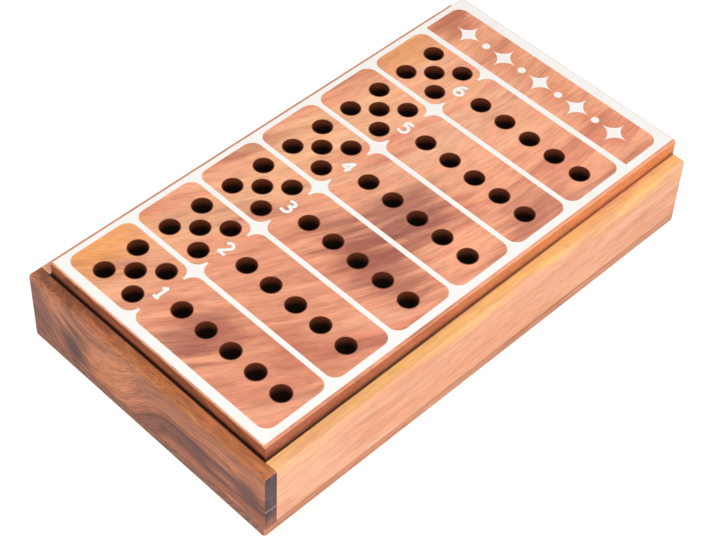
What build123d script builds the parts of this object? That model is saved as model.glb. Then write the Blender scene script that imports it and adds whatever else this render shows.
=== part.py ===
from build123d import *
import os

# A wooden code-breaking game: a shallow box of pegs, closed by a sliding board.
# The board is drilled with the peg holes and stands proud of the walls. It is glued
# on a thin panel, which closes the holes from below and runs in grooves cut round
# the inside of the box.
# The origin is the middle of the underside and +Z is up. +X runs along a row of
# holes, from the key holes to the code holes. +Y runs from the first row to the
# plain end of the board, which is also the way the board slides off.

# Sizes in millimetres. First the peg holes, which set the size of everything else.
ROWS = 6
ROW_PITCH = 32.0
CODE_HOLES = 5
CODE_PITCH = 13.25
KEY_SPREAD = 8.15
KEY_TO_CODE = 26.2
HOLE_DIAMETER = 8.0

# The board: its wood round the holes and its height above the walls.
KEY_MARGIN = 24.6
CODE_MARGIN = 13.7
FIRST_ROW_MARGIN = 20.4
HEADER = 43.0
BOARD_RISE = 7.0
BOARD_GAP = 0.4
EASED_BOARD = 0.6

# The panel under the board, and the grooves that it runs in.
PANEL = 3.2
SLIDE_CLEARANCE = 0.25
LIP = 3.25
GROOVE_DEPTH = 2.5

# The box.
WALL = 6.0
WALL_HEIGHT = 29.5
BOTTOM = 5.0
EASED_EDGE = 1.2
EASED_UNDERSIDE = 0.8

# The divider, let into the side walls, and its distance below the grooves.
DIVIDER = 5.0
HOUSING_DEPTH = 1.5
DIVIDER_DROP = 1.5

# The pegs and how they lie in the trays. A block is (pegs end to end, side by side).
# Each peg is drawn with flats in place of its round, because there are so many.
PEG_FIT = 0.25
PEG_FLAT_COUNT = 8
PEG_LENGTH = 20.0
PEG_LEAD = 0.7
PEG_SPACING = 0.3
PEG_BED = 0.1
BLOCK_GAP = 3.0
CODE_BLOCK = (2, 3)
KEY_BLOCK = (3, 4)
CODE_COLOURS = [["red", "orange"], ["yellow", "green"], ["blue", "brown"]]
KEY_COLOURS = ["black", "white"]

# What follows from those sizes, from the board outwards.
code_span = (CODE_HOLES - 1) * CODE_PITCH
board_width = KEY_MARGIN + KEY_TO_CODE + code_span + CODE_MARGIN
board_length = FIRST_ROW_MARGIN + (ROWS - 1) * ROW_PITCH + HEADER
box_width = board_width + 2 * (BOARD_GAP + WALL)
box_length = board_length + BOARD_GAP + WALL
inner_width = box_width - 2 * WALL

near_face = -box_length / 2
far_face = box_length / 2
near_inner = near_face + WALL
far_inner = far_face - WALL
board_near = near_inner + BOARD_GAP

wall_top = BOTTOM + WALL_HEIGHT
board_top = wall_top + BOARD_RISE
groove_top = wall_top - LIP
panel_top = groove_top - SLIDE_CLEARANCE
panel_underside = panel_top - PANEL
groove_floor = panel_underside - SLIDE_CLEARANCE
tongue = BOARD_GAP + GROOVE_DEPTH - SLIDE_CLEARANCE

first_row_y = board_near + FIRST_ROW_MARGIN
key_x = -board_width / 2 + KEY_MARGIN
first_code_x = key_x + KEY_TO_CODE

peg_diameter = HOLE_DIAMETER - 2 * PEG_FIT
peg_pitch = peg_diameter + PEG_SPACING
peg_step = PEG_LENGTH + PEG_SPACING
key_tray = len(KEY_COLOURS) * (KEY_BLOCK[1] * peg_pitch + BLOCK_GAP) + BLOCK_GAP
divider_far = far_inner - key_tray
divider_near = divider_far - DIVIDER


def block(x, y, z):
    """Solid box between pairs of (low, high) places along X, Y and Z."""
    size = [high - low for low, high in (x, y, z)]
    middle = [(high + low) / 2 for low, high in (x, y, z)]
    return Pos(*middle) * Box(*size)


def bottom_panel():
    """Thin panel glued under the four walls, its edges in view all round."""
    half = box_width / 2
    panel = block((-half, half), (near_face, far_face), (0, BOTTOM))
    panel = fillet(panel.edges().filter_by(Axis.Z), EASED_EDGE)
    return chamfer(panel.faces().sort_by(Axis.Z)[0].edges(), EASED_UNDERSIDE)


def near_end_wall():
    """Full-width wall whose end grain shows on both sides of the box."""
    half = box_width / 2
    wall = block((-half, half), (near_face, near_inner), (BOTTOM, wall_top))
    corners = wall.faces().sort_by(Axis.Y)[0].edges().filter_by(Axis.Z)
    rim = wall.faces().sort_by(Axis.Z)[-1].edges().sort_by(Axis.Y)[:-1]
    wall = fillet(corners + rim, EASED_EDGE)
    reach = inner_width / 2 + GROOVE_DEPTH
    back = near_inner - GROOVE_DEPTH
    return wall - block((-reach, reach), (back, near_inner), (groove_floor, groove_top))


def side_wall(side):
    """Long wall, grooved from end to end for the panel and housed for the divider.

    side is -1 for the wall beside the key holes and 1 for the one beside the codes.
    """
    inner = inner_width / 2
    wall = block((inner, inner + WALL), (near_inner, far_face), (BOTTOM, wall_top))
    corner = wall.faces().sort_by(Axis.Y)[-1].edges().filter_by(Axis.Z).sort_by(Axis.X)[-1]
    rim = wall.faces().sort_by(Axis.Z)[-1].edges()
    rim = [rim.filter_by(Axis.Y).sort_by(Axis.X)[-1], rim.sort_by(Axis.Y)[-1]]
    wall = fillet([corner] + rim, EASED_EDGE)
    wall -= block((inner, inner + GROOVE_DEPTH), (near_inner, far_face), (groove_floor, groove_top))
    wall -= block((inner, inner + HOUSING_DEPTH), (divider_near, divider_far), (BOTTOM, groove_floor))
    return wall if side > 0 else mirror(wall, Plane.YZ)


def far_end_wall():
    """Low wall between the side walls, which the board slides out over."""
    half = inner_width / 2
    return block((-half, half), (far_inner, far_face), (BOTTOM, groove_floor))


def tray_divider():
    """Cross strip between the two peg trays, held in the side walls."""
    half = inner_width / 2 + HOUSING_DEPTH
    return block((-half, half), (divider_near, divider_far), (BOTTOM, groove_floor - DIVIDER_DROP))


def slide_panel():
    """Panel under the board, with a tongue along both sides and its near end."""
    half = board_width / 2 + tongue
    return block((-half, half), (board_near - tongue, far_face), (panel_underside, panel_top))


def hole_places():
    """Middles of all peg holes: a line of code holes and five key holes a row."""
    places = []
    for row in range(ROWS):
        y = first_row_y + row * ROW_PITCH
        places += [(first_code_x + i * CODE_PITCH, y) for i in range(CODE_HOLES)]
        places.append((key_x, y))
        places += [(key_x + dx, y + dy) for dx in (-KEY_SPREAD, KEY_SPREAD)
                   for dy in (-KEY_SPREAD, KEY_SPREAD)]
    return places


def playing_board():
    """Board drilled right through with the peg holes."""
    half = board_width / 2
    board = block((-half, half), (board_near, far_face), (panel_top, board_top))
    board = fillet(board.faces().sort_by(Axis.Z)[-1].edges(), EASED_BOARD)
    thickness = board_top - panel_top
    drill = Cylinder(HOLE_DIAMETER / 2, thickness, align=(Align.CENTER, Align.CENTER, Align.MIN))
    return board - [Pos(x, y, panel_top) * drill for x, y in hole_places()]


def peg():
    """Turned peg lying along X, with a lead on the end that goes into a hole."""
    section = Plane.YZ * RegularPolygon(peg_diameter / 2, PEG_FLAT_COUNT)
    dowel = extrude(section, PEG_LENGTH / 2, both=True)
    return chamfer(dowel.faces().sort_by(Axis.X)[-1].edges(), PEG_LEAD)


def peg_block(size, x, y):
    """Pegs lying side by side in one layer, middled on x, from y towards +Y."""
    end_to_end, side_by_side = size
    z = BOTTOM + PEG_BED + peg_diameter / 2
    one = peg()
    pegs = []
    for i in range(end_to_end):
        for j in range(side_by_side):
            peg_x = x + (i - (end_to_end - 1) / 2) * peg_step
            pegs.append(Pos(peg_x, y + (j + 0.5) * peg_pitch, z) * one)
    return Compound(children=pegs)


def code_pegs():
    """One block of pegs for each code colour, two blocks abreast in the long tray."""
    blocks = {}
    width = CODE_BLOCK[0] * peg_step + BLOCK_GAP
    length = CODE_BLOCK[1] * peg_pitch + BLOCK_GAP
    for row, colours in enumerate(CODE_COLOURS):
        for column, colour in enumerate(colours):
            x = (column - (len(colours) - 1) / 2) * width
            y = near_inner + BLOCK_GAP + row * length
            blocks[f"{colour}_code_pegs"] = peg_block(CODE_BLOCK, x, y)
    return blocks


def key_pegs():
    """A block of black and a block of white pegs in the short tray."""
    length = KEY_BLOCK[1] * peg_pitch + BLOCK_GAP
    start = divider_far + BLOCK_GAP
    return {f"{colour}_key_pegs": peg_block(KEY_BLOCK, 0, start + i * length)
            for i, colour in enumerate(KEY_COLOURS)}


parts = {
    "bottom_panel": bottom_panel(),
    "near_end_wall": near_end_wall(),
    "far_end_wall": far_end_wall(),
    "left_side_wall": side_wall(-1),
    "right_side_wall": side_wall(1),
    "tray_divider": tray_divider(),
    "slide_panel": slide_panel(),
    "playing_board": playing_board(),
    **code_pegs(),
    **key_pegs(),
}

os.makedirs("parts", exist_ok=True)
for name, shape in parts.items():
    export_step(shape, f"parts/{name}.step")
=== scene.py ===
"""Looks of a wooden code-breaking game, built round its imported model.

A drilled playing board slides over a shallow box of pegs. It carries a white screen
print: a frame round each row of holes, the row numbers and a header with stars. Sizes
are in millimetres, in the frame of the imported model, and become metres in each mesh.
"""

import logging
import math
from dataclasses import dataclass
from enum import Enum

import bmesh
import bpy
from mathutils import Euler, Matrix, Vector

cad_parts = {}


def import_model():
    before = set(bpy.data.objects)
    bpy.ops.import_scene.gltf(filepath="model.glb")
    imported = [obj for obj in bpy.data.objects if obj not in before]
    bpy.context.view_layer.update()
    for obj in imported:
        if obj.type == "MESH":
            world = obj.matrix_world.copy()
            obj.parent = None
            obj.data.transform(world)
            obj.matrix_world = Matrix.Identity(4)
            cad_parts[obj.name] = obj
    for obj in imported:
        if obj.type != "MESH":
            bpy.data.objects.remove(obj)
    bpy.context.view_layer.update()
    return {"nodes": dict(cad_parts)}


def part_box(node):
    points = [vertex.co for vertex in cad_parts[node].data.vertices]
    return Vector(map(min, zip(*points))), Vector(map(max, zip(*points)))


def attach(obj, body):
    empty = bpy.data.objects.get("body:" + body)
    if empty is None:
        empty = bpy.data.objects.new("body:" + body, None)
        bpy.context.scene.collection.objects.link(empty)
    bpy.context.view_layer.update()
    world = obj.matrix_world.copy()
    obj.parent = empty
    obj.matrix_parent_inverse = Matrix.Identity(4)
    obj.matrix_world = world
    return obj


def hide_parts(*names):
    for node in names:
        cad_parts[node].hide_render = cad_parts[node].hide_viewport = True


MM = 0.001
SENSOR = 36.0
PHOTO_WIDTH = 716
WHITE = (1.0, 1.0, 1.0, 1.0)

# How far the handles of a quarter circle reach, as a share of its radius.
QUARTER_ARC = 0.5523

log = logging.getLogger("code_game")

Tone = tuple[float, float, float]
Place = tuple[float, float, float]
Range = tuple[float, float]
Steps = tuple[float, float, int]
Piece = bpy.types.Object
Material = bpy.types.Material
Socket = bpy.types.NodeSocket
Value = Socket | float | tuple


def linear(tone: Tone) -> tuple[float, float, float, float]:
    """Turns a screen colour into the linear colour that a shader takes.

    Args:
        tone: red, green and blue from 0 to 255.

    Returns:
        Linear red, green, blue and an alpha of 1.
    """
    parts = [part / 255 for part in tone]
    parts = [p / 12.92 if p <= 0.04045 else ((p + 0.055) / 1.055) ** 2.4 for p in parts]
    return (*parts, 1.0)


@dataclass(frozen=True)
class Relief:
    """Fine relief of a surface, with its depth in metres, raised or cut in."""

    strength: float
    depth: float
    cut_in: bool = False


class NodeSheet:
    """The shader nodes of one material or world, added and joined one at a time.

    A socket stands for the value that it carries.
    """

    def __init__(self, owner: Material | bpy.types.World) -> None:
        """Clears the nodes of a material or world.

        Args:
            owner: the material or world.
        """
        self.owner = owner
        owner.use_nodes = True
        self.nodes = owner.node_tree.nodes
        self.links = owner.node_tree.links
        self.nodes.clear()

    def add(self, kind: str, sockets: dict | None = None,
            settings: dict | None = None) -> bpy.types.Node:
        """Adds a node.

        Args:
            kind: the node's type, without its ShaderNode prefix.
            sockets: a value, or a socket to join, for each input by name or number.
            settings: the node's own options.

        Returns:
            The new node.
        """
        node = self.nodes.new(f"ShaderNode{kind}")
        for name, value in (settings or {}).items():
            setattr(node, name, value)
        for key, value in (sockets or {}).items():
            if isinstance(value, Socket):
                self.links.new(value, node.inputs[key])
            else:
                node.inputs[key].default_value = value
        return node

    def number(self, operation: str, *values: Value) -> Socket:
        """Joins numbers by one step of arithmetic, named as on the Math node."""
        node = self.add("Math", dict(enumerate(values)), {"operation": operation})
        return node.outputs[0]

    def vector(self, operation: str, first: Value, second: Value | None = None) -> Socket:
        """Joins vectors by one step of arithmetic.

        Args:
            operation: the Vector Math node's operation.
            first: its first vector.
            second: its second vector, or the number that scales the first.

        Returns:
            The resulting vector, or number for a length.
        """
        sockets = {0: first}
        if second is not None:
            sockets["Scale" if operation == "SCALE" else 1] = second
        node = self.add("VectorMath", sockets, {"operation": operation})
        return node.outputs["Value" if operation == "LENGTH" else "Vector"]

    def place(self) -> Socket:
        """Adds the place on the object, in millimetres."""
        return self.vector("MULTIPLY", self.add("TexCoord").outputs["Object"], (1 / MM,) * 3)

    def parts(self, vector: Value) -> list[Socket]:
        """Splits a vector into its three numbers."""
        return list(self.add("SeparateXYZ", {0: vector}).outputs)

    def noise(self, place: Value, size: Place, detail: float, colour: bool = False) -> Socket:
        """Makes a cloud of noise whose lumps have a given size.

        Args:
            place: the place, in millimetres.
            size: how long the lumps are each way.
            detail: how many finer layers lie on them.
            colour: whether the result is three separate numbers.

        Returns:
            The noise, from 0 to 1.
        """
        scaled = self.vector("MULTIPLY", place, tuple(1 / part for part in size))
        node = self.add("TexNoise", {"Vector": scaled, "Scale": 1.0, "Detail": detail})
        return node.outputs["Color" if colour else 0]

    def step(self, value: Value, low: float, high: float,
             start: float = 0.0, end: float = 1.0) -> Socket:
        """Eases from one number to another as a value rises.

        Args:
            value: the rising value.
            low: where the change starts.
            high: where it ends.
            start: the result below low.
            end: the result above high.

        Returns:
            The result.
        """
        sockets = {"Value": value, "From Min": low, "From Max": high}
        sockets |= {"To Min": start, "To Max": end}
        return self.add("MapRange", sockets, {"interpolation_type": "SMOOTHSTEP"}).outputs[0]

    def mix(self, share: Value, first: Socket | Tone, second: Socket | Tone) -> Socket:
        """Blends two colours.

        Args:
            share: how much of the second colour shows.
            first: the colour below, as a socket or a screen tone.
            second: the colour above.

        Returns:
            The blended colour.
        """
        below, above = (linear(c) if isinstance(c, tuple) else c for c in (first, second))
        sockets = {0: share, 6: below, 7: above}
        return self.add("Mix", sockets, {"data_type": "RGBA"}).outputs[2]

    def satin(self, colour: Value, rough: Value, height: Value, relief: Relief,
              coat: float = 0.0) -> Material:
        """Finishes a material with a satin surface and a fine relief.

        Args:
            colour: its colour.
            rough: its roughness.
            height: the height of its relief.
            relief: the relief.
            coat: how strong the clear coat on top is.

        Returns:
            The finished material.
        """
        sockets = {"Height": height, "Strength": relief.strength, "Distance": relief.depth}
        bump = self.add("Bump", sockets, {"invert": relief.cut_in}).outputs[0]
        sockets = {"Base Color": colour, "Roughness": rough, "Normal": bump, "Coat Weight": coat}
        return self.finish(self.add("BsdfPrincipled", sockets).outputs[0])

    def finish(self, surface: Socket) -> Material:
        """Joins a shader to the output, and gives back the finished material."""
        self.add("OutputMaterial", {"Surface": surface})
        return self.owner


class Grain(Enum):
    """The way the grain of a board runs, as its angle from +X in degrees."""

    ALONG_X = 0.0
    ALONG_Y = 90.0


class Axis(Enum):
    """A level axis of the box, as its number."""

    X = 0
    Y = 1


@dataclass(frozen=True)
class Spot:
    """Where on a wooden piece its shader is.

    at holds the parts of the place, and grained is where it lay in straight wood, first
    along the grain. face holds the parts of the way the surface faces, in that order too.
    """

    sheet: NodeSheet
    place: Socket
    at: list[Socket]
    grained: Socket
    face: list[Socket]


@dataclass(frozen=True)
class Cloud:
    """A place where the wood takes another tone, with an edge torn along the grain.

    A bent cloud follows the bends of the grain, and its centre is the place that its
    middle would have in straight wood.
    """

    centre: Place
    reach: Place
    tone: Tone
    strength: float
    on_ends: bool = False
    bent: bool = False
    tear: Place = (50.0, 3.5, 3.5)
    tear_depth: float = 2.2

    def tint(self, spot: Spot, colour: Socket) -> Socket:
        """Tints the cloud into the wood.

        Args:
            spot: where the shader is.
            colour: the colour so far.

        Returns:
            The colour.
        """
        sheet = spot.sheet
        place = spot.grained if self.bent else spot.place
        offset = sheet.vector("DIVIDE", sheet.vector("SUBTRACT", place, self.centre), self.reach)
        torn = sheet.noise(spot.grained, self.tear, 3.0)
        torn = sheet.number("MULTIPLY", torn, self.tear_depth)
        away = sheet.number("ADD", sheet.vector("LENGTH", offset), torn)
        share = sheet.step(away, 1.3, 2.4, self.strength, 0.0)
        return sheet.mix(share, colour, self.tone)


@dataclass(frozen=True)
class Crevice:
    """The gap round the board, as painted shade on the rim of a wall.

    edge is where the rim starts across the axis, and reach how far the gap runs along
    the other one. It is dark at the near end of the box and closes towards the far end.
    """

    axis: Axis
    edge: float
    reach: float
    rim: Range = (32.5, 34.0)
    shares: Range = (0.95, 0.55)
    share_run: Range = (-110.0, 110.0)
    # painted shade in the gap: its near and far tones, and where it passes between them
    gap_shade: Tone = (34, 16, 8)
    far_gap_shade: Tone = (140, 58, 14)
    gap_shade_run: Range = (-60.0, 90.0)

    def shade(self, spot: Spot, colour: Socket) -> Socket:
        """Paints shade on the wood along the gap.

        Args:
            spot: where the shader is.
            colour: the colour so far.

        Returns:
            The colour.
        """
        sheet = spot.sheet
        _, y, height = spot.at
        across = sheet.number("ABSOLUTE", spot.at[self.axis.value])
        along = sheet.number("ABSOLUTE", spot.at[1 - self.axis.value])
        share = sheet.step(across, self.edge + 0.3, self.edge + 0.7, 1.0, 0.0)
        limits = (
            sheet.step(along, self.reach, self.reach + 0.5, 1.0, 0.0),
            sheet.step(y, *self.share_run, *self.shares),
            sheet.step(height, *self.rim),
        )
        for limit in limits:
            share = sheet.number("MULTIPLY", share, limit)
        gap_shade = sheet.mix(sheet.step(y, *self.gap_shade_run), self.gap_shade, self.far_gap_shade)
        return sheet.mix(share, colour, gap_shade)


@dataclass(frozen=True)
class Wood:
    """Oiled wood with growth rings, streaks, fibres and pores, cut from a log.

    heart is where the middle of the log lay, across the grain and above the box's
    underside, so the rings run on from one face to the next and show as arcs on an end.
    turn and sweep slant and curve the grain. hollow is where it dips: the middle of the
    dip along the board, its half width and its depth. swirl is the size of the smaller
    bends, and wander how far they push the grain.
    """

    name: str
    early: Tone
    late: Tone
    dark: Tone
    pale: Tone
    end: Tone
    grain: Grain
    turn: float = 0.0
    sweep: float = 0.0
    hollow: tuple[float, float, float] = (0.0, 1.0, 0.0)
    heart: Range = (40.0, -60.0)
    ring: float = 7.0
    ring_strength: float = 0.6
    ring_drift: Place = (80.0, 9.0, 9.0)
    ring_wander: float = 1.2
    swirl: Place = (110.0, 34.0, 34.0)
    wander: float = 7.0
    streak: float = 8.0
    streak_length: float = 75.0
    vein_length: float = 60.0
    streak_shift: Place = (310.0, 170.0, 90.0)
    dark_share: float = 0.6
    pale_share: float = 0.45
    vein_share: float = 0.4
    fibre: float = 0.1
    fibre_size: Place = (26.0, 0.8, 0.8)
    mottle: float = 0.05
    mottle_size: Place = (7.0, 2.6, 2.6)
    pore: float = 0.16
    pore_size: Place = (7.0, 0.4, 0.4)
    end_dot: float = 0.6
    end_shade: float = 0.62
    rough: float = 0.45
    relief: Relief = Relief(0.3, 0.0001, cut_in=True)
    # painted shade along the gap round the board, where the piece meets it
    crevice: Crevice | None = None
    glue_line: float | None = None
    glue: Tone = (70, 38, 26)
    clouds: tuple[Cloud, ...] = ()

    def build(self) -> Material:
        """Makes the material of this wood.

        Returns:
            The material.
        """
        sheet = NodeSheet(bpy.data.materials.new(self.name))
        spot = self.spot(sheet)
        fibre = sheet.noise(spot.grained, self.fibre_size, 3.0)
        mottle = sheet.noise(spot.grained, self.mottle_size, 2.0)
        pores = sheet.step(sheet.noise(spot.grained, self.pore_size, 0.0), 0.6, 0.75)
        light = sheet.step(fibre, 0.25, 0.75, 1 + self.fibre, 1 - self.fibre)
        light = sheet.number("SUBTRACT", light, sheet.number("MULTIPLY", pores, self.pore))
        uneven = sheet.step(mottle, 0.3, 0.7, 1 + self.mottle, 1 - self.mottle)
        light = sheet.number("MULTIPLY", light, uneven)
        colour = sheet.vector("SCALE", self.colour(spot), light)
        rough = sheet.step(fibre, 0.3, 0.7, self.rough - 0.05, self.rough + 0.08)
        height = sheet.number("ADD", fibre, sheet.number("MULTIPLY", pores, 0.5))
        return sheet.satin(colour, rough, height, self.relief)

    def spot(self, sheet: NodeSheet) -> Spot:
        """Finds the place on the piece, and where it lay before the grain was bent.

        Args:
            sheet: the material's nodes.

        Returns:
            The spot.
        """
        place = sheet.place()
        rotation = (0.0, 0.0, -math.radians(self.grain.value))
        sockets = {"Vector": sheet.add("TexCoord").outputs["Normal"], "Rotation": rotation}
        face = sheet.add("Mapping", sockets, {"vector_type": "NORMAL"}).outputs[0]
        rotation = (0.0, 0.0, -math.radians(self.grain.value - self.turn))
        slant = sheet.add("Mapping", {"Vector": place, "Rotation": rotation}).outputs[0]
        along, across, up = sheet.parts(slant)
        curve = sheet.number("MULTIPLY", sheet.number("MULTIPLY", along, along), self.sweep)
        across = sheet.number("SUBTRACT", across, curve)
        middle, reach, depth = self.hollow
        aside = sheet.number("ABSOLUTE", sheet.number("SUBTRACT", along, middle))
        up = sheet.number("ADD", up, sheet.step(aside, 0.0, reach, depth, 0.0))
        bent = sheet.add("CombineXYZ", {0: along, 1: across, 2: up}).outputs[0]
        drift = sheet.noise(slant, self.swirl, 2.0, colour=True)
        drift = sheet.vector("SUBTRACT", drift, (0.5, 0.5, 0.5))
        drift = sheet.vector("MULTIPLY", drift, (0.0, 2 * self.wander, 2 * self.wander))
        grained = sheet.vector("ADD", bent, drift)
        return Spot(sheet, place, sheet.parts(place), grained, sheet.parts(face))

    def rings(self, spot: Spot) -> Socket:
        """Draws the growth rings round the heart of the log.

        Args:
            spot: where the shader is.

        Returns:
            A number, 0 in the early wood of each ring and 1 in its late wood.
        """
        sheet = spot.sheet
        spoke = sheet.vector("SUBTRACT", spot.grained, (0.0, *self.heart))
        spoke = sheet.vector("MULTIPLY", spoke, (0.0, 1.0, 1.0))
        count = sheet.number("DIVIDE", sheet.vector("LENGTH", spoke), self.ring)
        loose = sheet.noise(spot.grained, self.ring_drift, 2.0)
        count = sheet.number("ADD", count, sheet.number("MULTIPLY", loose, self.ring_wander))
        part = sheet.number("FRACT", count)
        late, ending = sheet.step(part, 0.1, 0.85), sheet.step(part, 0.88, 1.0, 1.0, 0.0)
        return sheet.number("MULTIPLY", late, ending)

    def colour(self, spot: Spot) -> Socket:
        """Lays the tones of the wood over each other.

        Args:
            spot: where the shader is.

        Returns:
            The colour.
        """
        sheet = spot.sheet
        rings = self.rings(spot)
        share = sheet.number("MULTIPLY", rings, self.ring_strength)
        colour = sheet.mix(share, self.early, self.late)
        wide = (self.streak_length, self.streak, self.streak)
        vein = (self.vein_length, self.streak / 4, self.streak / 4)
        shifted = sheet.vector("ADD", spot.grained, self.streak_shift)
        layers = (
            (sheet.noise(shifted, wide, 4.0), 0.5, 0.68, self.pale, self.pale_share),
            (sheet.noise(spot.grained, wide, 4.0), 0.52, 0.7, self.dark, self.dark_share),
            (sheet.noise(spot.grained, vein, 2.0), 0.56, 0.74, self.dark, self.vein_share),
        )
        for streak, low, high, tone, most in layers:
            colour = sheet.mix(sheet.step(streak, low, high, 0.0, most), colour, tone)
        ends = self.end_grain(spot, rings)
        for cloud in self.clouds:
            if cloud.on_ends:
                ends = cloud.tint(spot, ends)
            else:
                colour = cloud.tint(spot, colour)
        colour = self.glued(spot, self.cut(spot, colour, ends))
        # paints the shade of the gap round the board
        return self.crevice.shade(spot, colour) if self.crevice else colour

    def end_grain(self, spot: Spot, rings: Socket) -> Socket:
        """Tones the ends, where the rings show as arcs among fine dots.

        Args:
            spot: where the shader is.
            rings: the growth rings.

        Returns:
            The colour.
        """
        sheet = spot.sheet
        dots = sheet.noise(spot.place, (self.end_dot,) * 3, 1.0)
        dots = sheet.step(dots, 0.45, 0.7, 0.0, 0.4)
        share = sheet.number("MAXIMUM", sheet.number("MULTIPLY", rings, 0.7), dots)
        shaded = tuple(self.end_shade * part for part in self.end)
        return sheet.mix(share, self.end, shaded)

    def cut(self, spot: Spot, colour: Socket, ends: Socket) -> Socket:
        """Sets the ends of the board apart from its faces along the grain."""
        facing = spot.sheet.number("ABSOLUTE", spot.face[0])
        return spot.sheet.mix(spot.sheet.step(facing, 0.75, 0.95), colour, ends)

    def glued(self, spot: Spot, colour: Socket) -> Socket:
        """Draws the thin dark line where a wall is glued on the bottom panel.

        Args:
            spot: where the shader is.
            colour: the colour so far.

        Returns:
            The colour.
        """
        if self.glue_line is None:
            return colour
        sheet = spot.sheet
        above = sheet.number("SUBTRACT", spot.at[2], self.glue_line)
        share = sheet.step(sheet.number("ABSOLUTE", above), 0.1, 0.5, 0.5, 0.0)
        return sheet.mix(share, colour, self.glue)


@dataclass(frozen=True)
class HoleGrid:
    """Where the holes are drilled: rows along Y, each with code holes and key holes.

    Rows and code holes are each a line of steps: its first place, pitch and count.
    """

    rows: Steps = (-88.1, 32.0, 6)
    codes: Steps = (-7.95, 13.25, 5)
    key: float = -34.15
    key_spread: float = 8.15
    radius: float = 4.0

    def away(self, spot: Spot) -> Socket:
        """Measures how far each place is from the middle of the nearest hole.

        Args:
            spot: where the shader is.

        Returns:
            The distance.
        """
        sheet = spot.sheet
        x, y, _ = spot.at
        code, row = self.to_step(sheet, x, self.codes), self.to_step(sheet, y, self.rows)
        key = sheet.number("ABSOLUTE", sheet.number("SUBTRACT", x, self.key))
        outer = [sheet.number("SUBTRACT", part, self.key_spread) for part in (key, row)]
        nearest = self.length(sheet, code, row)
        for offsets in ((key, row), outer):
            nearest = sheet.number("MINIMUM", nearest, self.length(sheet, *offsets))
        return nearest

    def to_step(self, sheet: NodeSheet, value: Socket, steps: Steps) -> Socket:
        """Measures how far a place is from the nearest of a line of steps.

        Args:
            sheet: the material's nodes.
            value: the place along the line.
            steps: the line of steps.

        Returns:
            The distance, which isn't below 0.
        """
        first, pitch, count = steps
        passed = sheet.number("DIVIDE", sheet.number("SUBTRACT", value, first), pitch)
        step = sheet.number("MAXIMUM", sheet.number("ROUND", passed), 0)
        step = sheet.number("MINIMUM", step, count - 1)
        offset = sheet.number("MULTIPLY", sheet.number("SUBTRACT", passed, step), pitch)
        return sheet.number("ABSOLUTE", offset)

    def length(self, sheet: NodeSheet, first: Socket, second: Socket) -> Socket:
        """Measures the distance that two offsets at right angles make."""
        offset = sheet.add("CombineXYZ", {0: first, 1: second}).outputs[0]
        return sheet.vector("LENGTH", offset)


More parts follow.
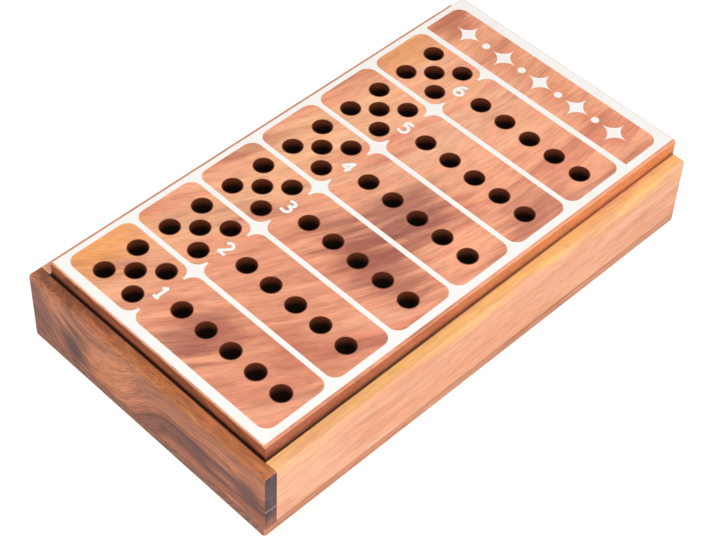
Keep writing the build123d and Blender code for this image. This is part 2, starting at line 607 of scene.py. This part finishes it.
@dataclass(frozen=True)
class DrilledWood(Wood):
    """Wood of the playing board, toned apart on its sides and in its holes, with painted
    shade at the foot of its sides and ends and down its holes, and a painted highlight on
    its arris.

    Ranges named run are places along the board between which a tone changes, and those
    named rise are heights.
    """

    # painted highlight on the eased top edge, stronger towards the far end
    arris_highlight: Tone = (255, 196, 150)
    arris_highlight_shares: Range = (0.35, 0.75)
    end_arris_highlight_share: float = 0.4
    arris_highlight_rise: Range = (40.5, 40.9)
    side: Tone = (142, 60, 32)
    far_side: Tone = (228, 132, 62)
    side_run: Range = (-100.0, 100.0)
    # painted shade at the foot of the sides and ends, in the gap round the board; weaker towards
    # the far end
    side_foot_shade: Tone = (56, 24, 12)
    foot_shade_rise: Range = (34.6, 37.2)
    foot_shade_run: Range = (-60.0, 100.0)
    holes: HoleGrid = HoleGrid()
    rim: float = 0.35
    # hole walls: darker drilled wood near the top, then painted shade that deepens to near-black
    # down the hole
    hole_wall_wood_and_shade: Tone = (112, 52, 28)
    drilled: Tone = (24, 10, 6)
    hole_shade_rise: Range = (36.5, 41.2)

    def sides(self, spot: Spot, colour: Socket) -> Socket:
        """Tones the long sides, with painted shade at the foot and a painted arris highlight.

        Args:
            spot: where the shader is.
            colour: the colour of the wood.

        Returns:
            The colour of the sides.
        """
        sheet = spot.sheet
        _, along, height = spot.at
        side = sheet.mix(sheet.step(along, *self.side_run), self.side, self.far_side)
        # painted shade at the foot of the side
        foot = sheet.mix(sheet.step(along, *self.foot_shade_run, 0.0, 0.6), self.side_foot_shade, side)
        side = sheet.mix(sheet.step(height, *self.foot_shade_rise), foot, side)
        side = sheet.mix(0.25, side, colour)
        # painted highlight on the arris
        share = sheet.step(along, *self.side_run, *self.arris_highlight_shares)
        share = sheet.number("MULTIPLY", sheet.step(height, *self.arris_highlight_rise), share)
        return sheet.mix(share, side, self.arris_highlight)

    def cut(self, spot: Spot, colour: Socket, ends: Socket) -> Socket:
        """Sets the sides and holes apart from the other faces too, with painted shade in the
        holes.

        Args:
            spot: where the shader is.
            colour: the colour of the faces along the grain.
            ends: the colour of the ends.

        Returns:
            The colour.
        """
        sheet = spot.sheet
        upright = sheet.step(sheet.number("ABSOLUTE", spot.face[2]), 0.35, 0.8, 1.0, 0.0)
        colour = sheet.mix(upright, colour, self.sides(spot, colour))
        colour = super().cut(spot, colour, ends)
        # painted shade down each hole, over the darker drilled wood
        wall = sheet.mix(sheet.step(spot.at[2], *self.hole_shade_rise), self.drilled, self.hole_wall_wood_and_shade)
        edge = self.holes.radius + self.rim
        inside = sheet.step(self.holes.away(spot), edge - 0.2, edge + 0.2, 1.0, 0.0)
        return sheet.mix(inside, colour, wall)

    def end_grain(self, spot: Spot, rings: Socket) -> Socket:
        """Tones the ends as on any board, with painted foot shade and a painted arris highlight.

        Args:
            spot: where the shader is.
            rings: the growth rings.

        Returns:
            The colour.
        """
        sheet, height = spot.sheet, spot.at[2]
        # painted shade at the foot, then a painted highlight on the arris
        foot = sheet.step(height, *self.foot_shade_rise)
        ends = sheet.mix(foot, self.side_foot_shade, super().end_grain(spot, rings))
        share = sheet.step(height, *self.arris_highlight_rise, 0.0, self.end_arris_highlight_share)
        return sheet.mix(share, ends, self.arris_highlight)


@dataclass(frozen=True)
class Ink:
    """Screen-printed ink with a faint tooth, thinner here and there."""

    name: str
    tone: Tone
    thin: Tone
    tooth: Place = (0.5, 1.6, 0.5)
    patch: Place = (9.0, 14.0, 9.0)
    relief: Relief = Relief(0.2, 0.00005)

    def build(self) -> Material:
        """Makes the material of this ink.

        Returns:
            The material.
        """
        sheet = NodeSheet(bpy.data.materials.new(self.name))
        place = sheet.place()
        tooth = sheet.noise(place, self.tooth, 2.0)
        worn = sheet.step(sheet.noise(place, self.patch, 3.0), 0.55, 0.8, 0.0, 0.5)
        colour = sheet.mix(worn, self.tone, self.thin)
        rough = sheet.step(tooth, 0.3, 0.7, 0.5, 0.6)
        return sheet.satin(colour, rough, tooth, self.relief)


@dataclass(frozen=True)
class Stain:
    """Satin stain on a turned peg, with the wood showing faintly through."""

    name: str
    tone: Tone
    fibre: Place = (8.0, 0.6, 0.6)
    batch: Place = (14.0, 7.0, 7.0)
    depth: float = 0.72
    coat: float = 0.25
    relief: Relief = Relief(0.3, 0.0001)

    def build(self) -> Material:
        """Makes the material of this stain.

        Returns:
            The material.
        """
        sheet = NodeSheet(bpy.data.materials.new(self.name))
        place = sheet.place()
        fibre = sheet.noise(place, self.fibre, 3.0)
        batch = sheet.step(sheet.noise(place, self.batch, 1.0), 0.4, 0.7, 0.0, 0.3)
        deep = tuple(self.depth * part for part in self.tone)
        colour = sheet.mix(sheet.step(fibre, 0.35, 0.7, 0.0, 0.55), self.tone, deep)
        colour = sheet.mix(batch, colour, deep)
        rough = sheet.step(fibre, 0.3, 0.7, 0.3, 0.42)
        return sheet.satin(colour, rough, fibre, self.relief, self.coat)


BOARD_WOOD = DrilledWood(
    name="board_wood", early=(250, 172, 134), late=(226, 134, 106), dark=(164, 84, 68),
    pale=(255, 198, 160), end=(176, 96, 60), grain=Grain.ALONG_Y, turn=16.0,
    sweep=0.0018, heart=(-30.0, -150.0), streak=10.0, pale_share=0.4, vein_share=0.2,
    fibre=0.07, pore=0.19, mottle=0.07,
    clouds=(
        Cloud((24, -74, 41), (66, 44, 40), (200, 120, 92), 0.42),
        Cloud((-36, 6, 41), (18, 120, 40), (254, 198, 148), 0.55),
        Cloud((14, 6, 41), (17, 26, 40), (146, 78, 70), 0.75),
        Cloud((6, -92, 41), (12, 20, 40), (160, 88, 74), 0.7),
        Cloud((20, -20, 41), (34, 15, 40), (158, 82, 68), 0.65),
        Cloud((46, 44, 41), (10, 22, 40), (170, 92, 78), 0.6),
        Cloud((30, -70, 41), (14, 10, 40), (190, 106, 84), 0.55),
        Cloud((0, 100, 41), (66, 9, 40), (214, 126, 84), 0.45),
        Cloud((-52, -92, 41), (14, 22, 40), (248, 170, 94), 0.8),
        Cloud((-52, 72, 41), (12, 20, 40), (246, 172, 104), 0.6),
        Cloud((-50, 100, 41), (10, 12, 40), (190, 100, 74), 0.6),
        Cloud((-4, 56, 41), (12, 50, 40), (253, 196, 158), 0.6),
    ),
)
END_WOOD = Wood(
    name="end_wood", glue_line=5.0, early=(194, 116, 78), late=(132, 70, 48),
    dark=(76, 40, 34), pale=(216, 136, 86), end=(86, 62, 72), grain=Grain.ALONG_X,
    heart=(-140.0, 6.0), ring=12.0, ring_strength=0.4, hollow=(-28.0, 45.0, 22.0),
    swirl=(60.0, 30.0, 30.0), streak=13.0, dark_share=0.4, vein_share=0.3, fibre=0.18,
    # the crevice is painted shade along the gap by the board
    pore=0.34, mottle=0.1, crevice=Crevice(Axis.Y, 108.9, 59.5),
    clouds=(
        Cloud((-60, -114.9, 17), (12, 20, 22), (116, 66, 54), 0.75),
        Cloud((-40, -114.9, 14), (10, 20, 15), (70, 36, 38), 0.9),
        Cloud((-53, -114.9, 28), (6, 20, 6), (204, 122, 78), 0.7),
        Cloud((-18, -114.9, 19), (14, 20, 14), (222, 138, 90), 0.8),
        Cloud((36, -114.9, 14), (56, 30, 8), (94, 46, 38), 0.9, bent=True),
        Cloud((44, -114.9, 15), (14, 20, 3), (196, 116, 84), 0.6),
        Cloud((57, -114.9, 18), (7, 20, 8), (100, 58, 58), 0.7),
        Cloud((20, -112, 37), (60, 12, 6), (184, 112, 62), 0.85),
        # painted shadow that the board casts on the near wall's top
        Cloud((-40, -110, 36), (30, 6, 4), (128, 74, 48), 0.8),
        Cloud((65, -112, 5), (6, 12, 5), (156, 92, 70), 0.9, on_ends=True),
        Cloud((65, -112, 15), (6, 12, 0.8), (186, 150, 140), 0.5, on_ends=True),
    ),
)
SIDE_WOOD = Wood(
    name="side_wood", glue_line=5.0, early=(244, 178, 140), late=(228, 148, 110),
    dark=(212, 124, 88), pale=(247, 195, 160), end=(214, 146, 108), grain=Grain.ALONG_Y,
    turn=2.0, heart=(-20.0, -40.0), ring=10.0, ring_strength=0.5, dark_share=0.35,
    # the crevice is painted shade along the gap by the board
    vein_share=0.2, fibre=0.06, pore=0.1, crevice=Crevice(Axis.X, 59.15, 116.0),
    clouds=(
        Cloud((65, -92, 18), (8, 30, 22), (252, 198, 162), 0.5),
        Cloud((65, 0, 18), (8, 60, 22), (234, 158, 120), 0.4),
        Cloud((62, 0, 37), (4.2, 220, 9), (255, 200, 124), 1.0),
    ),
)
BOTTOM_WOOD = Wood(
    name="box_bottom", glue_line=5.0, early=(216, 150, 116), late=(184, 114, 84),
    dark=(150, 88, 66), pale=(228, 168, 136), end=(168, 108, 82), grain=Grain.ALONG_Y,
    heart=(0.0, 90.0), ring=3.0,
)
DIVIDER_WOOD = Wood(
    name="divider_wood", early=(232, 184, 140), late=(212, 156, 112),
    dark=(190, 130, 92), pale=(240, 200, 160), end=(170, 116, 80), grain=Grain.ALONG_X,
)
PANEL_WOOD = Wood(
    name="panel_wood", early=(206, 156, 112), late=(180, 126, 88), dark=(156, 104, 72),
    pale=(218, 170, 128), end=(120, 78, 52), grain=Grain.ALONG_X, heart=(0.0, 700.0),
    ring=14.0, wander=12.0,
)
WHITE_INK = Ink("white_ink", (250, 249, 246), (240, 232, 224))
PEG_STAINS = {
    "red": (196, 34, 28), "orange": (226, 112, 28), "yellow": (238, 196, 44),
    "green": (34, 120, 58), "blue": (34, 78, 160), "brown": (104, 62, 40),
    "black": (34, 32, 32), "white": (236, 232, 222),
}

# The pen strokes of the numbers 1 to 6, each from its own middle.
PEN_STROKES = (
    (((-1.4, 1.6), (-0.3, 2.3), (0.3, 3.1)), ((0.3, 3.1), (0.2, -3)),
     ((-1.3, -3), (1.6, -3))),
    (((-1.8, 1.9), (-0.9, 2.9), (0.7, 2.9), (1.5, 1.6), (0.7, 0), (-1.8, -2.9)),
     ((-1.8, -2.9), (2, -2.8))),
    (((-1.7, 2.5), (-0.2, 3), (1.4, 2.3), (1.1, 0.9), (-0.5, 0.3)),
     ((-0.5, 0.3), (1.4, -0.2), (1.9, -1.6), (0.8, -2.8), (-1.8, -2.7))),
    (((1, 3), (-2.1, -1.1)), ((-2.1, -1.1), (2.2, -1)), ((1, 3), (0.8, -3.1))),
    (((1.8, 2.9), (-1.3, 2.9)), ((-1.3, 2.9), (-1.6, 0.6)),
     ((-1.6, 0.6), (0.3, 0.9), (1.8, -0.3), (1.7, -1.9), (0.3, -2.9), (-1.8, -2.6))),
    (((1.3, 2.9), (-0.6, 2), (-1.8, -0.2), (-1.6, -2.1), (-0.1, -3), (1.6, -2.3),
      (1.9, -0.9), (0.8, 0.2), (-0.7, 0), (-1.6, -1.2)),),
)


@dataclass
class Outline:
    """A closed outline, drawn knot by knot, that becomes one spline of a flat curve.

    A knot is its place, the handle that arrives at it and the one that leaves it.
    """

    knots: list[list[Vector | None]]

    @staticmethod
    def through(x: float, y: float, *steps: tuple) -> "Outline":
        """Draws an outline step by step. The last step leads back to its start.

        Args:
            x: where it starts.
            y: where it starts.
            steps: (x, y) for a straight line to there, or (x, y, turned) for a corner.

        Returns:
            The outline.
        """
        path = Outline([[Vector((x, y, 0)), None, None]])
        for step in steps:
            draw = path.line if len(step) == 2 else path.corner
            draw(*step)
        return path

    def line(self, x: float, y: float) -> None:
        """Draws a straight line to (x, y)."""
        here, there = self.knots[-1][0], Vector((x, y, 0))
        self.join(there, here.lerp(there, 1 / 3), here.lerp(there, 2 / 3))

    def corner(self, x: float, y: float, turned: bool) -> None:
        """Draws a quarter of an ellipse to (x, y).

        Args:
            x: where it ends.
            y: where it ends.
            turned: whether it starts out along Y and arrives along X.
        """
        here, there = self.knots[-1][0], Vector((x, y, 0))
        bend = Vector((here.x, there.y, 0)) if turned else Vector((there.x, here.y, 0))
        self.join(there, here.lerp(bend, QUARTER_ARC), there.lerp(bend, QUARTER_ARC))

    def join(self, there: Vector, leave: Vector, arrive: Vector) -> None:
        """Adds a knot, with the handle that leaves the last one and its own."""
        self.knots[-1][2] = leave
        self.knots.append([there, arrive, None])

    def spline(self, curve: bpy.types.Curve) -> None:
        """Adds the outline to a flat curve.

        Args:
            curve: the curve. The last knot of the outline lies on the first.
        """
        first, last = self.knots[0], self.knots.pop()
        first[1] = last[1]
        spline = curve.splines.new("BEZIER")
        spline.bezier_points.add(len(self.knots) - 1)
        for point, (place, arrive, leave) in zip(spline.bezier_points, self.knots):
            point.handle_left_type = point.handle_right_type = "FREE"
            point.co, point.handle_left, point.handle_right = place, arrive, leave
        spline.use_cyclic_u = True


@dataclass
class ScreenPrint:
    """White print on the board: a frame round each row, the row numbers and a header.

    Bands are (low, high) places across them. The neck is where the key holes and the
    code holes of a row meet, and where a four-pointed star sits on each line.
    """

    rows: int = 6
    pitch: float = 32.0
    first_line: float = -71.9
    line: float = 2.3
    left: Range = (-58.2, -55.8)
    right: Range = (54.2, 57.6)
    near: Range = (-107.9, -103.9)
    far: Range = (109.8, 114.3)
    header_line: Range = (86.7, 89.4)
    corner: float = 4.8
    neck: float = -18.9
    tip: float = 1.0
    ink: float = 0.06
    top: float = 41.5
    stars: int = 5
    star_pitch: float = 20.0
    star_reach: float = 6.5
    dot: float = 1.7
    number_x: float = -19.4
    number_width: float = 1.55
    arc_steps: int = 8
    stroke_steps: int = 6
    stroke_rounding: int = 2

    def row_window(self, low: float, high: float) -> Outline:
        """Outlines the bare wood of one row, pinched at the neck by the stars.

        Args:
            low: the upper edge of the line below the row.
            high: the lower edge of the line above it.

        Returns:
            The outline.
        """
        left, right, c = self.left[1], self.right[0], self.corner
        near_tip, far_tip = self.neck - self.tip / 2, self.neck + self.tip / 2
        return Outline.through(
            left, high - c,
            (left, low + c), (left + c, low, True),
            (near_tip - c, low), (near_tip, low + c, False),
            (far_tip, low + c), (far_tip + c, low, True),
            (right - c, low), (right, low + c, False),
            (right, high - c), (right - c, high, True),
            (far_tip + c, high), (far_tip, high - c, False),
            (near_tip, high - c), (near_tip - c, high, True),
            (left + c, high), (left, high - c, False),
        )

    def header_window(self) -> Outline:
        """Outlines the wood of the header, with round corners at its far end.

        Returns:
            The outline.
        """
        left, right, c = self.left[1], self.right[0], self.corner
        low, high = self.header_line[1], self.far[0]
        return Outline.through(
            left, high - c, (left, low), (right, low), (right, high - c),
            (right - c, high, True), (left + c, high), (left, high - c, False),
        )

    def ring_of_arcs(self, x: float, y: float, reach: float, hollow: bool) -> Outline:
        """Outlines a round dot, or a four-pointed star with hollow sides.

        Args:
            x: the middle.
            y: the middle.
            reach: how far it reaches.
            hollow: whether its sides curve inwards.

        Returns:
            The outline.
        """
        return Outline.through(
            x, y + reach, (x + reach, y, hollow), (x, y - reach, not hollow),
            (x - reach, y, hollow), (x, y + reach, not hollow),
        )

    def ornament(self) -> list[Outline]:
        """Draws the row of stars in the header, with a dot between each two.

        Returns:
            The outlines, from left to right.
        """
        y = (self.header_line[1] + self.far[0]) / 2
        middle = (self.left[1] + self.right[0]) / 2
        marks = []
        for i in range(2 * self.stars - 1):
            x = middle + (i - self.stars + 1) * self.star_pitch / 2
            is_star = i % 2 == 0
            reach = self.star_reach if is_star else self.dot
            marks.append(self.ring_of_arcs(x, y, reach, is_star))
        return marks

    def border(self) -> Outline:
        """Outlines the outside of the whole print."""
        left, right, near, far = self.left[0], self.right[1], self.near[0], self.far[1]
        return Outline.through(left, near, (right, near), (right, far), (left, far), (left, near))

    def row_bands(self) -> list[Range]:
        """Finds where the bare wood of each row lies between the lines.

        Returns:
            Its (low, high) edges for each row.
        """
        edges = [self.near[1]]
        for row in range(self.rows - 1):
            middle = self.first_line + row * self.pitch
            edges += [middle - self.line / 2, middle + self.line / 2]
        edges.append(self.header_line[0])
        return list(zip(edges[::2], edges[1::2]))

    def frame_mesh(self) -> Piece:
        """Makes the printed frame as one thin sheet with a window for each row.

        Returns:
            The frame's object.
        """
        curve = bpy.data.curves.new("printed_frame", "CURVE")
        curve.dimensions, curve.fill_mode = "2D", "BOTH"
        curve.extrude = self.ink / 2
        curve.resolution_u = self.arc_steps
        windows = [self.row_window(low, high) for low, high in self.row_bands()]
        for outline in (self.border(), self.header_window(), *self.ornament(), *windows):
            outline.spline(curve)
        return solid_from(curve, Matrix.Translation((0, 0, self.top + self.ink / 2)))

    def number_mesh(self, row: int) -> Piece:
        """Makes one row number from round-ended pen strokes.

        Args:
            row: the row, from 0.

        Returns:
            The number's object.
        """
        curve = bpy.data.curves.new(f"row_number_{row + 1}", "CURVE")
        curve.dimensions = "3D"
        curve.bevel_depth = self.number_width / 2
        curve.bevel_resolution = self.stroke_rounding
        curve.resolution_u = self.stroke_steps
        curve.use_fill_caps = True
        for stroke in PEN_STROKES[row]:
            spline = curve.splines.new("BEZIER")
            spline.bezier_points.add(len(stroke) - 1)
            for point, (x, y) in zip(spline.bezier_points, stroke):
                point.handle_left_type = point.handle_right_type = "AUTO"
                point.co = (x, y, 0)
        y = self.first_line + (row - 0.5) * self.pitch
        flat = Matrix.Diagonal((1, 1, self.ink / self.number_width, 1))
        place = Matrix.Translation((self.number_x, y, self.top + self.ink / 2))
        return solid_from(curve, place @ flat)


def new_object(name: str, data: bpy.types.ID) -> Piece:
    """Links a mesh, curve, lamp or camera into the scene, at the origin.

    Args:
        name: the new object's name.
        data: what it shows.

    Returns:
        The new object.
    """
    piece = bpy.data.objects.new(name, data)
    bpy.context.collection.objects.link(piece)
    return piece


def solid_from(curve: bpy.types.Curve, place: Matrix) -> Piece:
    """Turns a curve into a mesh object in metres.

    Args:
        curve: the curve, in millimetres.
        place: where it goes, in millimetres.

    Returns:
        The object, at the origin, with its place in its mesh.
    """
    drawn = new_object(curve.name, curve)
    bpy.context.view_layer.update()
    graph = bpy.context.evaluated_depsgraph_get()
    mesh = bpy.data.meshes.new_from_object(drawn.evaluated_get(graph))
    bpy.data.objects.remove(drawn)
    bpy.data.curves.remove(curve)
    mesh.transform(Matrix.Scale(MM, 4) @ place)
    return new_object(mesh.name, mesh)


def dress(piece: Piece, material: Material) -> None:
    """Gives a whole piece one material."""
    piece.data.materials.clear()
    piece.data.materials.append(material)


@dataclass
class PlayingBoard:
    """The drilled board and the panel under it, with the print on top."""

    layout: ScreenPrint
    board: Wood = BOARD_WOOD
    panel: Wood = PANEL_WOOD
    ink: Ink = WHITE_INK

    def build(self, nodes: dict[str, Piece]) -> None:
        """Dresses the board's nodes and adds the print.

        Args:
            nodes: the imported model's objects by node name.
        """
        dress(nodes["playing_board"], self.board.build())
        dress(nodes["slide_panel"], self.panel.build())
        ink = self.ink.build()
        prints = [self.layout.frame_mesh()]
        prints += [self.layout.number_mesh(row) for row in range(self.layout.rows)]
        for piece in prints:
            dress(piece, ink)
            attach(piece, "sliding_board")
            log.info("print %s", piece.name)


@dataclass
class GameBox:
    """The walls, bottom and divider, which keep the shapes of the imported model."""

    finishes: tuple[tuple[Wood, tuple[str, ...]], ...] = (
        (END_WOOD, ("near_end_wall", "far_end_wall")),
        (SIDE_WOOD, ("left_side_wall", "right_side_wall")),
        (BOTTOM_WOOD, ("bottom_panel",)),
        (DIVIDER_WOOD, ("tray_divider",)),
    )

    def build(self, nodes: dict[str, Piece]) -> None:
        """Dresses the nodes of the box.

        Args:
            nodes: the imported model's objects by node name.
        """
        for finish, names in self.finishes:
            material = finish.build()
            for name in names:
                dress(nodes[name], material)
                log.info("wood %s on %s", finish.name, name)


@dataclass
class PegSet:
    """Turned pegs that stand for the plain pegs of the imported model.

    A block is (pegs end to end, side by side). Each peg lies along X, with a domed
    head at its low end and a lead at the other. head lists points on the dome as
    shares of its length and of the peg's radius, and twist is how many degrees each
    peg is turned past the one before.
    """

    code_block: tuple[int, int] = (2, 3)
    key_block: tuple[int, int] = (3, 4)
    length: float = 20.0
    radius: float = 3.72
    foot_radius: float = 3.55
    dome: float = 1.1
    head: tuple[Range, ...] = ((0.12, 0.55), (0.42, 0.85))
    lead: float = 0.7
    flutes: int = 20
    weld: float = 0.001
    twist: float = 37.0

    def profile(self) -> list[Range]:
        """Draws half a peg from its head to its foot.

        Returns:
            The (along, radius) points.
        """
        start, end = -self.length / 2, self.length / 2
        points = [(start, 0.0)]
        points += [(start + a * self.dome, b * self.radius) for a, b in self.head]
        points += [(start + self.dome, self.radius), (end - self.lead, self.foot_radius)]
        points += [(end, self.foot_radius - self.lead), (end, 0.0)]
        return points

    def peg(self) -> bpy.types.Mesh:
        """Turns one peg round X.

        Returns:
            Its mesh, in millimetres.
        """
        turned = bmesh.new()
        knots = [turned.verts.new((x, radius, 0)) for x, radius in self.profile()]
        edges = [turned.edges.new(pair) for pair in zip(knots, knots[1:])]
        bmesh.ops.spin(
            turned, geom=knots + edges, cent=(0, 0, 0), axis=(1, 0, 0),
            angle=2 * math.pi, steps=self.flutes, use_merge=True, use_duplicate=False,
        )
        bmesh.ops.remove_doubles(turned, verts=turned.verts, dist=self.weld)
        bmesh.ops.recalc_face_normals(turned, faces=turned.faces)
        for face in turned.faces:
            face.smooth = True
        mesh = bpy.data.meshes.new("peg")
        turned.to_mesh(mesh)
        turned.free()
        return mesh

    def block(self, node: str) -> Piece:
        """Lays turned pegs where a node has its plain ones.

        Args:
            node: the node's name, such as red_code_pegs.

        Returns:
            One object with all pegs of the node.
        """
        low, high = (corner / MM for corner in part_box(node))
        ends, sides = self.code_block if "code" in node else self.key_block
        across = (high.x - low.x - self.length) / (ends - 1)
        along = (high.y - low.y - 2 * self.radius) / (sides - 1)
        joined = bmesh.new()
        one = self.peg()
        for i in range(ends):
            for j in range(sides):
                added = len(joined.verts)
                joined.from_mesh(one)
                joined.verts.ensure_lookup_table()
                turn = math.radians(self.twist * (i * sides + j))
                turn = Euler((turn, 0, 0)).to_matrix().to_4x4()
                middle = (low.x + self.length / 2 + i * across, low.y + self.radius + j * along)
                place = Matrix.Translation((*middle, (low.z + high.z) / 2)) @ turn
                bmesh.ops.transform(joined, matrix=place, verts=joined.verts[added:])
        bmesh.ops.scale(joined, vec=(MM, MM, MM), verts=joined.verts)
        mesh = bpy.data.meshes.new(f"turned_{node}")
        joined.to_mesh(mesh)
        joined.free()
        bpy.data.meshes.remove(one)
        return new_object(mesh.name, mesh)

    def build(self) -> None:
        """Makes and dresses the pegs of every colour."""
        for colour, tone in PEG_STAINS.items():
            kind = "key" if colour in ("black", "white") else "code"
            node = f"{colour}_{kind}_pegs"
            piece = self.block(node)
            dress(piece, Stain(f"{colour}_stain", tone).build())
            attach(piece, "box")
            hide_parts(node)
            log.info("pegs %s", piece.name)


@dataclass(frozen=True)
class Lamp:
    """A square soft lamp that faces the middle of the box, with its power in watts."""

    name: str
    place: Place
    size: float
    power: float
    tone: Tone

    def hang(self) -> None:
        """Hangs the lamp in its place."""
        data = bpy.data.lights.new(self.name, "AREA")
        data.size, data.energy, data.color = self.size * MM, self.power, linear(self.tone)[:3]
        place = Vector(self.place)
        look = (-place).to_track_quat("-Z", "Y").to_matrix().to_4x4()
        new_object(self.name, data).matrix_world = Matrix.Translation(place * MM) @ look


@dataclass
class Studio:
    """A pale floor, soft lamps, a white surround and the camera of the photograph."""

    camera_place: Place = (355.4, -381.1, 585.4)
    camera_aim: Place = (8.7, -13.3, 20.0)
    camera_roll: float = 2.86
    focal_pixels: float = 1955.5
    clip_start: float = 10.0
    floor_size: float = 6000.0
    floor_tone: Tone = (235, 235, 235)
    floor_glow: float = 0.5
    sky: float = 0.56
    lamps: tuple[Lamp, ...] = (
        Lamp("key_lamp", (940, -320, 940), 900, 10.8, (255, 251, 246)),
        Lamp("fill_lamp", (-700, -900, 900), 1200, 4.0, (255, 251, 247)),
    )

    def camera(self) -> None:
        """Puts the camera where the photograph was taken from."""
        data = bpy.data.cameras.new("photo_camera")
        data.sensor_width, data.sensor_fit = SENSOR, "HORIZONTAL"
        data.lens = SENSOR * self.focal_pixels / PHOTO_WIDTH
        data.clip_start = self.clip_start * MM
        place, aim = Vector(self.camera_place), Vector(self.camera_aim)
        look = (aim - place).to_track_quat("-Z", "Y").to_matrix().to_4x4()
        roll = Matrix.Rotation(math.radians(self.camera_roll), 4, "Z")
        piece = new_object("photo_camera", data)
        piece.matrix_world = Matrix.Translation(place * MM) @ look @ roll
        bpy.context.scene.camera = piece

    def surround(self) -> None:
        """Lights everything softly from a sky that the camera sees as plain white."""
        sheet = NodeSheet(bpy.data.worlds.new("studio_sky"))
        path = sheet.add("LightPath").outputs
        seen = sheet.number("MAXIMUM", path["Is Camera Ray"], path["Is Transmission Ray"])
        lit, plain = (
            sheet.add("Background", {"Color": WHITE, "Strength": strength}).outputs[0]
            for strength in (self.sky, 1.0)
        )
        both = sheet.add("MixShader", {0: seen, 1: lit, 2: plain}).outputs[0]
        sheet.add("OutputWorld", {"Surface": both})
        bpy.context.scene.world = sheet.owner

    def floor(self) -> None:
        """Lays a plain pale floor that keeps the object's shadow."""
        plane = bmesh.new()
        bmesh.ops.create_grid(plane, x_segments=1, y_segments=1, size=self.floor_size * MM / 2)
        mesh = bpy.data.meshes.new("studio_floor")
        plane.to_mesh(mesh)
        plane.free()
        piece = new_object("studio_floor", mesh)
        sheet = NodeSheet(bpy.data.materials.new("studio_floor"))
        seen = sheet.add("LightPath").outputs["Is Camera Ray"]
        strength = sheet.number("MULTIPLY", seen, self.floor_glow)
        cloth = sheet.add("BsdfDiffuse", {"Color": linear(self.floor_tone)}).outputs[0]
        glow = sheet.add("Emission", {"Strength": strength}).outputs[0]
        both = sheet.add("AddShader", {0: cloth, 1: glow}).outputs[0]
        dress(piece, sheet.finish(both))

    def build(self) -> None:
        """Sets up the camera, the light and the floor."""
        bpy.context.scene.view_settings.view_transform = "Standard"
        self.camera()
        self.surround()
        self.floor()
        for lamp in self.lamps:
            lamp.hang()
        log.info("studio ready")


def main() -> None:
    """Builds every piece in order."""
    logging.basicConfig(level=logging.INFO, format="%(name)s: %(message)s")
    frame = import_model()
    Studio().build()
    GameBox().build(frame["nodes"])
    PlayingBoard(ScreenPrint()).build(frame["nodes"])
    PegSet().build()


if __name__ == "__main__":
    main()
